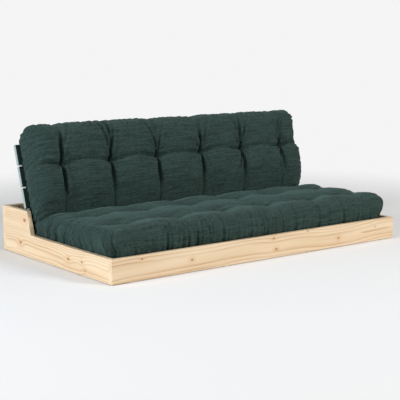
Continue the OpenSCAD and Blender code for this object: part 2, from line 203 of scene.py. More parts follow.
def makeKnot():
    # one knot: its dark core, and how far it pushes the growth lines round it
    tree, given, result = newGroup(
        "knot",
        [("Vector", "vector", None), ("Centre", "vector", (0.0, 0.0, 0.0)), ("Radius", "value", 0.008)],
        [("Core", "value"), ("Halo", "value"), ("Push", "value")])
    away = tree.vector("SUBTRACT", given["Vector"], given["Centre"])
    away = tree.vector("MULTIPLY", away, (0.62, 1.0, 0.25))
    rough = tree.noise(given["Vector"], 160.0, 2.0)
    ragged = tree.math("MULTIPLY", tree.math("SUBTRACT", rough, 0.5), 0.006)
    share = tree.math("DIVIDE", tree.math("ADD", tree.vector("LENGTH", away), ragged), given["Radius"])
    tree.feed(result["Core"], tree.rescale(share, 0.55, 1.05, 1.0, 0.0, True))
    tree.feed(result["Halo"], tree.rescale(share, 0.8, 4.2, 1.0, 0.0, True))
    bell = tree.math("POWER", 2.718, tree.math("MULTIPLY", tree.math("MULTIPLY", share, share), -0.16))
    tree.feed(result["Push"], tree.math("MULTIPLY", tree.math("MULTIPLY", bell, given["Radius"]), 1.0))
    return tree.tree


def makeEdgeWear():
    # pale worn band along rounded edges, broken up by noise
    tree, given, result = newGroup(
        "edgeWear", [("Vector", "vector", None), ("Width", "value", 0.003), ("Break Up", "value", 30.0)],
        [("Mask", "value")])
    rounded = tree.node("ShaderNodeBevel", {"Radius": given["Width"]}, samples=4)
    plain = tree.node("ShaderNodeNewGeometry")
    turned = tree.vector("DOT_PRODUCT", rounded.outputs[0], plain.outputs["Normal"])
    edge = tree.rescale(turned, 0.995, 0.9, 0.0, 1.0, True)
    patchy = tree.rescale(tree.noise(given["Vector"], given["Break Up"], 3.0, 0.6), 0.35, 0.62, 0.25, 1.0)
    tree.feed(result["Mask"], tree.math("MULTIPLY", edge, patchy))
    return tree.tree


def makeDust():
    # thin uneven dust that gathers on faces looking up
    tree, given, result = newGroup(
        "dust", [("Vector", "vector", None), ("Amount", "value", 0.1)], [("Mask", "value")])
    up = tree.node("ShaderNodeSeparateXYZ", {0: tree.node("ShaderNodeNewGeometry").outputs["Normal"]})
    level = tree.rescale(up.outputs[2], 0.35, 1.0, 0.0, 1.0, True)
    spots = tree.rescale(tree.noise(given["Vector"], 55.0, 4.0, 0.7), 0.4, 0.75)
    tree.feed(result["Mask"], tree.math("MULTIPLY", tree.math("MULTIPLY", level, spots), given["Amount"]))
    return tree.tree


def makeRibWeave():
    # fine ribs along the futon with threads across them; x and y are metres of cloth
    tree, given, result = newGroup(
        "ribWeave", [("Vector", "vector", None), ("Rib", "value", 0.0026), ("Thread", "value", 0.0011)],
        [("Height", "value"), ("Pile", "value"), ("Mottle", "value")])
    parts = tree.node("ShaderNodeSeparateXYZ", {0: given["Vector"]})
    uneven = tree.noise(given["Vector"], 40.0, 2.0)
    wobble = tree.math("MULTIPLY", tree.math("SUBTRACT", uneven, 0.5), 0.0016)
    ribTurns = tree.math("DIVIDE", tree.math("ADD", parts.outputs[0], wobble), given["Rib"])
    ribs = tree.math("SINE", tree.math("MULTIPLY", ribTurns, math.tau))
    threadTurns = tree.math("DIVIDE", parts.outputs[1], given["Thread"])
    threads = tree.math("SINE", tree.math("MULTIPLY", threadTurns, math.tau))
    weave = tree.math("ADD", ribs, tree.math("MULTIPLY", threads, 0.35))
    tree.feed(result["Height"], tree.rescale(weave, -1.35, 1.35))
    streaks = tree.vector("MULTIPLY", given["Vector"], (330.0, 70.0, 1.0))
    crossing = tree.vector("MULTIPLY", given["Vector"], (45.0, 240.0, 1.0))
    brushed = tree.vector("MULTIPLY", given["Vector"], (6.0, 95.0, 1.0))
    both = tree.math("ADD", tree.noise(streaks, 1.0, 3.0, 0.6), tree.noise(crossing, 1.0, 2.0, 0.5))
    both = tree.math("ADD", both, tree.noise(brushed, 1.0, 3.0, 0.6))
    tree.feed(result["Pile"], tree.math("DIVIDE", both, 3.0))
    tree.feed(result["Mottle"], tree.noise(given["Vector"], 15.0, 4.0, 0.6))
    return tree.tree


growthLines = makeGrowthLines()
knotGroup = makeKnot()
edgeWear = makeEdgeWear()
dust = makeDust()
ribWeave = makeRibWeave()
print("shared effects made")


# materials

pineLook = {
    "early": (0.715, 0.537, 0.343, 1), "late": (0.43, 0.232, 0.093, 1), "lineShare": 1.0,
    "pale": (0.775, 0.622, 0.425, 1), "knot": (0.27, 0.115, 0.045, 1), "knotRing": (0.62, 0.36, 0.17, 1),
    "wornEdge": (0.96, 0.86, 0.69, 1), "roughness": 0.46, "coat": 0.12,
}


def makePine(name, axis, seed, face=0.0, knots=(), ring=0.0125, pith=(0.06, 0.045), wander=0.040):
    # axis is the way the board runs; face is where its outer face lies; knots are (along, height, radius)
    made, tree, shader = newMaterial(name)
    place = tree.node("ShaderNodeTexCoord").outputs["Object"]
    parts = tree.node("ShaderNodeSeparateXYZ", {0: place})
    along, depth = (0, 1) if axis == "x" else (1, 0)
    inward = tree.math("ABSOLUTE", tree.math("SUBTRACT", parts.outputs[depth], face))
    turned = tree.node("ShaderNodeCombineXYZ", {0: parts.outputs[along], 1: parts.outputs[2], 2: inward})
    lying = turned.outputs[0]
    push, core, halo = 0.0, 0.0, 0.0
    for at, height, radius in knots:
        spot = tree.group(knotGroup, Vector=lying, Centre=(at, height, 0.0), Radius=radius)
        push = tree.math("ADD", push, spot["Push"])
        core = tree.math("MAXIMUM", core, spot["Core"])
        halo = tree.math("MAXIMUM", halo, spot["Halo"])
    grain = tree.group(growthLines, {"Ring Width": ring, "Wander": wander, "Pith Height": pith[0],
                                     "Pith Depth": pith[1]}, Vector=lying, Seed=seed, Push=push)
    ground = tree.mix(tree.rescale(grain["Tone"], 0.35, 0.68), pineLook["early"], pineLook["pale"])
    lines = tree.math("MULTIPLY", tree.math("MULTIPLY", grain["Line"], pineLook["lineShare"]),
                      tree.rescale(grain["Tone"], 0.3, 0.7, 1.0, 0.45))
    colour = tree.mix(lines, ground, pineLook["late"])
    streak = tree.rescale(grain["Fibre"], 0.3, 0.7, 0.0, 0.16)
    colour = tree.mix(streak, colour, pineLook["late"])
    if knots:
        colour = tree.mix(tree.math("MULTIPLY", halo, 0.35), colour, pineLook["knotRing"])
        colour = tree.mix(tree.math("MULTIPLY", core, 0.85), colour, pineLook["knot"])
    worn = tree.group(edgeWear, Vector=place, Width=0.0035)
    colour = tree.mix(tree.math("MULTIPLY", worn["Mask"], 0.55), colour, pineLook["wornEdge"])
    tree.feed(shader["Base Color"], colour)
    tree.feed(shader["Roughness"], tree.rescale(grain["Line"], 0.0, 1.0, pineLook["roughness"] + 0.07,
                                                pineLook["roughness"] - 0.06))
    shader["Coat Weight"].default_value = pineLook["coat"]
    shader["Coat Roughness"].default_value = 0.35
    height = tree.math("ADD", tree.math("MULTIPLY", grain["Line"], -0.5), grain["Fibre"])
    tree.feed(shader["Normal"], tree.bump(height, 0.35, 0.0006))
    return made


lacquerLook = {
    "paint": (0.0145, 0.0300, 0.0255, 1), "thin": (0.030, 0.052, 0.045, 1),
    "endFace": (0.36, 0.45, 0.42, 1), "worn": (0.10, 0.13, 0.115, 1), "roughness": 0.36,
}


def makeLacquer():
    made, tree, shader = newMaterial("greenLacquer")
    place = tree.node("ShaderNodeTexCoord").outputs["Object"]
    grain = tree.group(growthLines, {"Ring Width": 0.008, "Wander": 0.03, "Pith Height": 0.2,
                                     "Pith Depth": 0.5}, Vector=place, Seed=3.7)
    colour = tree.mix(tree.rescale(grain["Tone"], 0.35, 0.7), lacquerLook["paint"], lacquerLook["thin"])
    worn = tree.group(edgeWear, Vector=place, Width=0.002)
    colour = tree.mix(tree.math("MULTIPLY", worn["Mask"], 0.5), colour, lacquerLook["worn"])
    facing = tree.node("ShaderNodeSeparateXYZ", {0: tree.node("ShaderNodeNewGeometry").outputs["Normal"]})
    ends = tree.rescale(tree.math("ABSOLUTE", facing.outputs[0]), 0.8, 0.95)
    fine = tree.noise(tree.vector("MULTIPLY", place, (40.0, 300.0, 300.0)), 1.0, 2.0)
    endTone = tree.mix(tree.rescale(fine, 0.3, 0.7, 0.0, 0.4), lacquerLook["endFace"], lacquerLook["worn"])
    colour = tree.mix(ends, colour, endTone)
    dusty = tree.group(dust, Vector=place, Amount=0.18)
    colour = tree.mix(dusty["Mask"], colour, (0.35, 0.36, 0.34, 1))
    tree.feed(shader["Base Color"], colour)
    tree.feed(shader["Roughness"], tree.rescale(grain["Fibre"], 0.3, 0.7, lacquerLook["roughness"] - 0.05,
                                                lacquerLook["roughness"] + 0.12))
    height = tree.math("ADD", tree.math("MULTIPLY", grain["Line"], -0.6), grain["Fibre"])
    tree.feed(shader["Normal"], tree.bump(height, 0.3, 0.0005))
    return made


coverLook = {
    "deep": (0.0044, 0.0094, 0.0082, 1), "mid": (0.0128, 0.0272, 0.0230, 1),
    "nap": (0.049, 0.091, 0.077, 1), "sheenTint": (0.45, 0.80, 0.72, 1), "sheen": 0.11,
    "sheenRoughness": 0.42, "roughness": 0.82, "rib": 0.0026, "thread": 0.0012,
}


def makeCover():
    made, tree, shader = newMaterial("futonCover")
    cloth = tree.node("ShaderNodeUVMap", uv_map="clothMap").outputs[0]
    weave = tree.group(ribWeave, Vector=cloth, Rib=coverLook["rib"], Thread=coverLook["thread"])
    colour = tree.mix(tree.rescale(weave["Mottle"], 0.3, 0.7), coverLook["deep"], coverLook["mid"])
    colour = tree.mix(tree.rescale(weave["Pile"], 0.40, 0.62, 0.0, 0.80), colour, coverLook["nap"])
    # painted shade: the deep colour is mixed into the low parts of the rib weave, so the grooves between
    # the ribs read darker
    paintedGrooveShade = tree.rescale(weave["Height"], 0.0, 0.6, 0.35, 0.0)
    colour = tree.mix(paintedGrooveShade, colour, coverLook["deep"])
    dusty = tree.group(dust, Vector=cloth, Amount=0.05)
    colour = tree.mix(dusty["Mask"], colour, (0.35, 0.38, 0.36, 1))
    tree.feed(shader["Base Color"], colour)
    tree.feed(shader["Roughness"], tree.rescale(weave["Pile"], 0.3, 0.7, coverLook["roughness"] + 0.08,
                                                coverLook["roughness"] - 0.12))
    setSockets(shader, {"Sheen Weight": coverLook["sheen"], "Sheen Roughness": coverLook["sheenRoughness"],
                        "Sheen Tint": coverLook["sheenTint"], "Specular IOR Level": 0.16})
    height = tree.math("ADD", weave["Height"], tree.math("MULTIPLY", weave["Pile"], 0.8))
    fine = tree.bump(height, 0.45, 0.0007)
    puckers = tree.noise(tree.vector("MULTIPLY", cloth, (70.0, 22.0, 1.0)), 1.0, 4.0, 0.6)
    soft = tree.node("ShaderNodeBump", {"Height": puckers, "Strength": 0.6, "Distance": 0.004,
                                        "Normal": fine})
    tree.feed(shader["Normal"], soft.outputs[0])
    return made


def makeSteel():
    made, tree, shader = newMaterial("zincSteel")
    place = tree.node("ShaderNodeTexCoord").outputs["Object"]
    patches = tree.noise(place, 320.0, 3.0, 0.6)
    worn = tree.group(edgeWear, {"Break Up": 90.0}, Vector=place, Width=0.0008)
    colour = tree.mix(patches, (0.52, 0.53, 0.54, 1), (0.70, 0.71, 0.71, 1))
    tree.feed(shader["Base Color"], tree.mix(worn["Mask"], colour, (0.82, 0.82, 0.80, 1)))
    tree.feed(shader["Roughness"], tree.rescale(patches, 0.3, 0.7, 0.28, 0.48))
    shader["Metallic"].default_value = 1.0
    tree.feed(shader["Normal"], tree.bump(patches, 0.15, 0.0003))
    return made


def makeFelt():
    made, tree, shader = newMaterial("glideFelt")
    place = tree.node("ShaderNodeTexCoord").outputs["Object"]
    fuzz = tree.noise(place, 900.0, 4.0, 0.7)
    dusty = tree.group(dust, Vector=place, Amount=0.2)
    colour = tree.mix(fuzz, (0.10, 0.095, 0.09, 1), (0.26, 0.25, 0.235, 1))
    tree.feed(shader["Base Color"], tree.mix(dusty["Mask"], colour, (0.4, 0.39, 0.37, 1)))
    shader["Roughness"].default_value = 0.95
    shader["Sheen Weight"].default_value = 0.3
    tree.feed(shader["Normal"], tree.bump(fuzz, 0.6, 0.0008))
    return made


def makeThread():
    made, tree, shader = newMaterial("tuftThread")
    place = tree.node("ShaderNodeTexCoord").outputs["Object"]
    strands = tree.node("ShaderNodeTexWave", {"Vector": place, "Scale": 260.0, "Distortion": 2.0,
                                              "Detail": 1.0}).outputs["Fac"]
    tree.feed(shader["Base Color"], tree.mix(strands, (0.008, 0.016, 0.014, 1), (0.03, 0.05, 0.045, 1)))
    shader["Roughness"].default_value = 0.7
    tree.feed(shader["Normal"], tree.bump(strands, 0.6, 0.0005))
    return made


greenLacquer = makeLacquer()
futonCover = makeCover()
zincSteel = makeSteel()
glideFelt = makeFelt()
tuftThread = makeThread()
print("materials made")


# boards

boardEdges = {"radius": 0.0022, "segments": 3, "slatRadius": 0.003}


def roundedBoard(name, node, radius, material):
    # a clean copy of a CAD board with its edges rounded over
    mesh = bmesh.new()
    mesh.from_mesh(nodes[node].data)
    bmesh.ops.remove_doubles(mesh, verts=mesh.verts, dist=0.00002)
    bmesh.ops.dissolve_limit(mesh, angle_limit=0.02, verts=mesh.verts, edges=mesh.edges)
    sharp = [e for e in mesh.edges if len(e.link_faces) == 2 and e.calc_face_angle(0) > 1.2
             and not any(len(f.verts) > 12 for f in e.link_faces if f.calc_area() < 0.0004)]
    long = [e for e in sharp if e.calc_length() > 0.012]
    bmesh.ops.bevel(mesh, geom=long, offset=radius, segments=boardEdges["segments"], profile=0.5,
                    affect="EDGES", clamp_overlap=True)
    data = bpy.data.meshes.new(name)
    mesh.to_mesh(data)
    mesh.free()
    data.shade_smooth()
    made = bpy.data.objects.new(name, data)
    bpy.context.scene.collection.objects.link(made)
    weighted = made.modifiers.new("faceNormals", "WEIGHTED_NORMAL")
    weighted.keep_sharp = True
    for edge in data.edges:
        edge.use_edge_sharp = False
    data.materials.append(material)
    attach(made, nodes[node]["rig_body"])
    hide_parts(node)
    return made


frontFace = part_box("front_board")[0].y
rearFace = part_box("rear_board")[0].y
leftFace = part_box("side_panel_left")[0].x
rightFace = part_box("side_panel_right")[1].x
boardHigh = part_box("front_board")[1].z
panel = nodes["side_panel_left"]
panelPoints = [panel.matrix_world @ v.co for v in panel.data.vertices]
slopeFoot = max(p.y for p in panelPoints if abs(p.z - boardHigh) < 0.0005)

pineBoards = {
    "frontBoard": ("front_board", dict(axis="x", seed=0.4, face=frontFace, ring=0.0145, knots=[
        (-0.838, 0.113, 0.0055), (-0.522, 0.066, 0.006), (0.047, 0.112, 0.006), (0.066, 0.05, 0.0065),
        (0.305, 0.122, 0.0035), (0.552, 0.054, 0.006), (0.86, 0.088, 0.003)])),
    "sidePanelLeft": ("side_panel_left", dict(
        axis="y", seed=2.3, face=leftFace, pith=(0.05, 0.05), ring=0.0095, wander=0.026, knots=[
        (0.311, 0.206, 0.012), (0.364, 0.073, 0.010), (-0.155, 0.067, 0.009), (-0.29, 0.072, 0.007),
        (-0.32, 0.03, 0.006)])),
    "sidePanelRight": ("side_panel_right", dict(
        axis="y", seed=5.9, face=rightFace, pith=(0.08, 0.06), ring=0.0095, wander=0.026, knots=[
        (0.18, 0.07, 0.009), (0.47, 0.16, 0.008), (-0.35, 0.08, 0.006)])),
    "rearBoard": ("rear_board", dict(
        axis="x", seed=7.7, face=rearFace, pith=(0.12, 0.07), ring=0.0085, knots=[
        (-0.925, 0.245, 0.006), (-0.4, 0.1, 0.010), (0.28, 0.18, 0.012), (0.75, 0.09, 0.008)])),
}
for piece, (node, look) in pineBoards.items():
    roundedBoard(piece, node, boardEdges["radius"], makePine(piece + "Pine", **look))

crossPine = makePine("crossPine", "x", 11.0, pith=(0.02, 0.06), ring=0.007)
railPine = makePine("railPine", "y", 14.0, pith=(0.02, 0.05), ring=0.006)
slatPine = makePine("slatPine", "x", 17.0, pith=(0.03, 0.08), ring=0.008)
hiddenPine = {
    "side_runner": railPine, "middle_runner": railPine, "seat_rail": railPine, "stop_block": railPine,
    "front_tie": crossPine, "seat_crosspiece": crossPine, "seat_slat": slatPine,
}


def camel(node):
    first, *rest = node.split("_")
    return first + "".join(word.capitalize() for word in rest)


steelNodes, feltNodes = [], []
for node in sorted(nodes):
    if nodes[node].hide_render or "mattress" in node or "tuft" in node:
        continue
    if "screw" in node or "bolt" in node or "washer" in node or "nut" in node or "bracket" in node \
            or "ratchet" in node:
        steelNodes.append(node)
    elif "glide" in node:
        feltNodes.append(node)
    elif node.startswith("back_"):
        roundedBoard(camel(node), node, boardEdges["slatRadius"], greenLacquer)
    else:
        stem = next(s for s in hiddenPine if node.startswith(s))
        roundedBoard(camel(node), node, boardEdges["radius"], hiddenPine[stem])
for group, material, slotName in ((steelNodes, zincSteel, "zinc_steel"), (feltNodes, glideFelt, "felt")):
    for node in group:
        nodes[node].data.materials.clear()
        nodes[node].data.materials.append(material)
print("boards made,", len(steelNodes), "steel nodes,", len(feltNodes), "felt nodes")


# futon

futonSizes = {
    "thick": 0.176, "edgeRadius": 0.060, "halfWidth": 0.988, "endSlack": 0.0015, "bulge": 0.028,
    "backSwell": 0.085, "cornerRadius": 0.078,
    "clearBlend": 0.045, "rimCorner": 0.11,
    "seatLength": 0.829, "backLength": 0.640, "columnsAcross": 352, "seatRows": 108, "backRows": 80,
    "coarse": 4, "seed": 41,
}
tuftPlan = {
    "columns": [-0.815, -0.489, -0.163, 0.163, 0.489, 0.815], "halfPitch": 0.163,
    "backRow": 0.268, "seatRows": [0.204, 0.488], "creaseDepth": 0.066, "creaseWidth": 0.12,
    "shoulderAt": 0.38, "shoulderDepth": 0.019, "topAt": 0.52,
    "tuckDepth": 0.046, "tuckReach": 0.25,
    "channelAtTuft": 0.036, "channelLow": 0.042, "channelTop": 0.015,
    "backValley": 0.021, "backPit": 0.010, "backCrown": 0.020, "rowCrease": 0.012, "rowCreaseWidth": 0.011,
    "seatPit": 0.032, "seatRowValley": 0.025, "seatChannel": 0.013, "seatCrown": 0.018,
}
pivot = Vector(hinge["pos_m"])
lean = math.radians(90 - max(abs(a) for a in hinge["range_deg"]))
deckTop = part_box("seat_slat_1")[1].z
pivotRise = deckTop - pivot.z
foldY = pivot.y - pivotRise * (1 - math.sin(lean)) / math.cos(lean)
mitre = (math.pi / 2 + lean) / 2
mitreSlope = 1 / math.tan(mitre)


def smoothstep(x):
    x = np.clip(x, 0, 1)
    return x * x * (3 - 2 * x)


def latticeNoise(a, b, cell, seed):
    # smooth random values between -1 and 1 over a plane
    cells = cell if isinstance(cell, tuple) else (cell, cell)
    u, v = a / cells[0], b / cells[1]
    iu, iv = np.floor(u).astype(np.int64), np.floor(v).astype(np.int64)
    fu, fv = smoothstep(u - iu), smoothstep(v - iv)

    def corner(du, dv):
        h = ((iu + du) * 374761393 + (iv + dv) * 668265263 + seed * 69069) & 0xFFFFFFFF
        h = ((h ^ (h >> 13)) * 1274126177) & 0xFFFFFFFF
        return ((h ^ (h >> 16)) & 0xFFFF) / 32767.5 - 1

    low = corner(0, 0) * (1 - fu) + corner(1, 0) * fu
    high = corner(0, 1) * (1 - fu) + corner(1, 1) * fu
    return low * (1 - fv) + high * fv


def slabMesh():
    # a closed box skin: fine top sheet, rings down the sides, and a coarse underside
    s = futonSizes
    nx, nb, ns, q = s["columnsAcross"], s["backRows"], s["seatRows"], s["coarse"]
    xs = np.linspace(-s["halfWidth"], s["halfWidth"], nx + 1)
    back = s["backLength"] * (np.arange(1, nb + 1) / nb) ** 1.12
    seat = -s["seatLength"] * (np.arange(1, ns + 1) / ns) ** 1.12
    runs = np.concatenate([seat[::-1], [0.0], back])
    n2 = len(runs) - 1
    top = [(i, j) for j in range(n2 + 1) for i in range(nx + 1)]
    index = {ij: k for k, ij in enumerate(top)}
    points = [(xs[i], runs[j], s["thick"]) for i, j in top]
    faces = [(index[i, j], index[i + 1, j], index[i + 1, j + 1], index[i, j + 1])
             for j in range(n2) for i in range(nx)]
    ring = [(i, 0) for i in range(nx)] + [(nx, j) for j in range(n2)] \
        + [(i, n2) for i in range(nx, 0, -1)] + [(0, j) for j in range(n2, 0, -1)]
    heights = [0.162, 0.149, 0.137, 0.126, 0.115, 0.104, 0.093, 0.082, 0.071, 0.060, 0.050, 0.0425,
               0.0385, 0.036, 0.0335, 0.0295, 0.020, 0.009]
    above = [index[ij] for ij in ring]
    count = len(ring)
    for h in heights:
        first = len(points)
        points += [(xs[i], runs[j], h) for i, j in ring]
        below = list(range(first, first + count))
        faces += [(above[(k + 1) % count], above[k], below[k], below[(k + 1) % count])
                  for k in range(count)]
        above = below
    low = {}
    for j in range(0, n2 + 1, q):
        for i in range(0, nx + 1, q):
            low[i, j] = len(points)
            points.append((xs[i], runs[j], 0.0))
    faces += [(low[i, j], low[i, j + q], low[i + q, j + q], low[i + q, j])
              for j in range(0, n2, q) for i in range(0, nx, q)]
    for k in range(0, count, q):
        fine = [above[(k + m) % count] for m in range(q + 1)]
        a, b = low[ring[k]], low[ring[(k + q) % count]]
        faces.append(tuple(fine[::-1]) + (a, b))
    return np.array(points), faces


def roundedBox(p, low, high, radius):
    # moves points of a box skin onto the same box with round edges, and gives their outward normals
    inner = np.clip(p, low + radius, high - radius)
    away = p - inner
    away /= np.maximum(np.linalg.norm(away, axis=1), 1e-9)[:, None]
    return inner + away * radius, away


def roundCorners(flat, low, high, radius):
    # rounds the slab's four corners in plan, by drawing them in along rays
    mid, half = (low[:2] + high[:2]) / 2, (high[:2] - low[:2]) / 2
    offset = flat - mid
    over = np.clip((np.abs(offset) - (half - radius)) / radius, 0, None)
    reach = np.linalg.norm(over, axis=1)
    shrink = np.where(reach > 1e-9, over.max(axis=1) / np.maximum(reach, 1e-9), 1.0)
    change = over * (1 - shrink[:, None]) * radius
    return flat - np.sign(offset) * change


def rimPlace(x, s, sLow, sHigh, half, radius):
    # distance in from the outline, and the way along it
    mid = (sLow + sHigh) / 2
    a, b = half - radius, (sHigh - sLow) / 2 - radius
    qx, qs = np.clip(x, -a, a), np.clip(s - mid, -b, b)
    dx, ds = x - qx, (s - mid) - qs
    reach = np.hypot(dx, ds)
    angle = np.mod(np.arctan2(ds, dx), math.tau)
    arc = radius * math.pi / 2
    quarter = np.floor(angle / (math.pi / 2)).astype(int)
    along = radius * angle + np.select(
        [quarter == 0, quarter == 1, quarter == 2], [qs + b, 2 * b + a - qx, 2 * b + 2 * a + b - qs],
        4 * b + 2 * a + a + qx)
    inside = radius - reach
    inside = np.where(reach < 1e-6, radius + 1, inside)
    return inside, along, 4 * (a + b) + 4 * arc


def pleats(x, v, centre, rng, plan):
    # creases that run out from one tuft; plan is a list of (angle, spread, count, length, depth)
    depth = np.zeros_like(x)
    near = (np.abs(x - centre[0]) < 0.3) & (np.abs(v - centre[1]) < 0.3)
    px, pv = x[near] - centre[0], v[near] - centre[1]
    total = np.zeros_like(px)
    for angle, spread, count, length, amount in plan:
        for k in range(count):
            turn = math.radians(angle + spread * ((k + 0.5) / count - 0.5) * 2 + rng.uniform(-6, 6))
            size = length * rng.uniform(0.65, 1.15)
            strong = amount * rng.uniform(0.6, 1.25)
            bend = rng.uniform(-1.2, 1.2)
            along = px * math.cos(turn) + pv * math.sin(turn)
            side = -px * math.sin(turn) + pv * math.cos(turn) + bend * along * np.abs(along)
            width = 0.0064 + 0.019 * np.clip(along, 0, None)
            envelope = smoothstep((along - 0.004) / 0.02) * smoothstep((size - along) / (size * 0.75))
            total += strong * envelope * (np.exp(-(side / width) ** 2)
                                          - 0.55 * np.exp(-((np.abs(side) - 1.9 * width) / width) ** 2))
    depth[near] = total
    return depth


backPleats = [(90, 17, 4, 0.30, 0.0125), (-90, 11, 3, 0.27, 0.0120), (0, 10, 2, 0.14, 0.0080),
              (180, 10, 2, 0.14, 0.0080), (52, 10, 2, 0.11, 0.0036), (128, 10, 2, 0.11, 0.0036),
              (-45, 12, 2, 0.10, 0.0034), (-135, 12, 2, 0.10, 0.0034)]
seatPleats = [(0, 15, 3, 0.16, 0.0068), (180, 15, 3, 0.16, 0.0068), (90, 24, 3, 0.10, 0.0046),
              (-90, 24, 3, 0.10, 0.0046), (45, 14, 2, 0.09, 0.0030), (135, 14, 2, 0.09, 0.0030),
              (-45, 14, 2, 0.09, 0.0030), (-135, 14, 2, 0.09, 0.0030)]


def topDepth(x, v, inside, isBack, rng):
    # how far the top of the futon is drawn in, from its crown; v is metres out from the fold
    t = tuftPlan
    columns = np.array(t["columns"])
    dx = np.min(np.abs(x[:, None] - columns[None, :]), axis=1)
    near = np.clip(1 - dx / t["halfPitch"], 0, 1)
    dv = v - t["backRow"]
    upper = np.interp(
        v, [0, 0.05, t["backRow"], t["shoulderAt"], t["topAt"]],
        [t["channelLow"], t["channelLow"], t["channelAtTuft"], t["shoulderDepth"], t["channelTop"]])
    # a broad hollow with a sharp crease in its middle, sharper below the tufts
    above = 0.40 * near ** 2 + 0.60 * near ** 11
    below = 0.42 * near ** 2 + 0.58 * near ** 13
    channel = upper * np.where(dv > 0, above, below)
    across = t["backValley"] * np.clip(1 - np.abs(dv) / 0.15, 0, 1) ** 2 * (0.55 + 0.45 * near)
    sag = 0.006 * (1 - near) ** 2 + 0.004 * latticeNoise(x, v * 0, 0.14, 21)
    across = across + t["rowCrease"] * np.exp(-(np.abs(dv - sag) / t["rowCreaseWidth"]) ** 1.4)
    pit = t["backPit"] * np.exp(-(np.hypot(dx, dv) / 0.026) ** 1.4)
    plump = smoothstep(inside / 0.11)
    crown = -t["backCrown"] * plump
    tuck = t["tuckDepth"] * np.clip(1 - v / t["tuckReach"], 0, 1) ** 1.3
    depth = np.where(isBack, channel + across + pit + crown + tuck, 0.0)
    seat = -t["seatCrown"] * plump + t["seatChannel"] * near ** 2
    for row in t["seatRows"]:
        dr = v - row
        seat = seat + t["seatRowValley"] * np.clip(1 - np.abs(dr) / 0.13, 0, 1) ** 2 * (0.55 + 0.45 * near)
        seat = seat + t["seatPit"] * np.exp(-(np.hypot(dx, dr) / 0.040) ** 1.3)
    depth = np.where(isBack, depth, seat)
    for column in t["columns"]:
        centre = (column, t["backRow"])
        depth = depth + np.where(isBack, pleats(x, v, centre, rng, backPleats), 0.0)
        for row in t["seatRows"]:
            depth = depth + np.where(isBack, 0.0, pleats(x, v, (column, row), rng, seatPleats))
    return depth


def gathers(along, inside, down, total, rng):
    # close puckers round the rim: deep on the sides, fading in over the top
    depth = np.zeros_like(along)
    at = 0.0
    while at < total:
        strong = rng.uniform(0.0034, 0.0076) + (rng.random() < 0.28) * rng.uniform(0.004, 0.0085)
        width = rng.uniform(0.0056, 0.0092)
        reach = rng.uniform(0.030, 0.090) + 9 * (strong - 0.004)
        slant = rng.uniform(-0.35, 0.35)
        tip = rng.uniform(-0.12, 0.12)
        offset = along - at - slant * inside - tip * down
        offset = (offset + total / 2) % total - total / 2
        close = np.abs(offset) < 3 * width
        fade = smoothstep((reach - inside[close]) / reach) * (0.75 + 0.25 * smoothstep(down[close] / 0.08))
        depth[close] += strong * fade * np.exp(-(offset[close] / width) ** 2)
        at += rng.uniform(0.014, 0.028)
    return depth


def foldPoint(x, s, h):
    # lays the flat slab over the deck and up the backrest, meeting on the mitre
    along = np.abs(s)
    isBack = s > 0
    length = np.where(isBack, futonSizes["backLength"], futonSizes["seatLength"])
    run = h * mitreSlope + along * (1 - h * mitreSlope / length)
    y = np.where(isBack, foldY + run * math.sin(lean) - h * math.cos(lean), foldY - run)
    z = np.where(isBack, deckTop + run * math.cos(lean) + h * math.sin(lean), deckTop + h)
    return np.stack([x, y, z], axis=1)


def outsidePanels(y, z):
    # how far a point is above or in front of the side panels' outline
    low, high = boardHigh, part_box("side_panel_left")[1].z
    ahead = (slopeFoot + (z - low) * math.tan(lean) - y) * math.cos(lean)
    return np.minimum(z - low, np.maximum(ahead, z - high))


def bedPlace(placed, isBack):
    # where a point's y and z come to lie when the deck is pulled out and the backrest is flat
    travel = max(abs(a) for a in slide["range_m"])
    y, z = placed[:, 1] - pivot.y, placed[:, 2] - pivot.z
    up, out = y * math.sin(lean) + z * math.cos(lean), z * math.sin(lean) - y * math.cos(lean)
    bedY = np.where(isBack, pivot.y + up, placed[:, 1]) - travel
    return bedY, np.where(isBack, pivot.z + out, placed[:, 2])


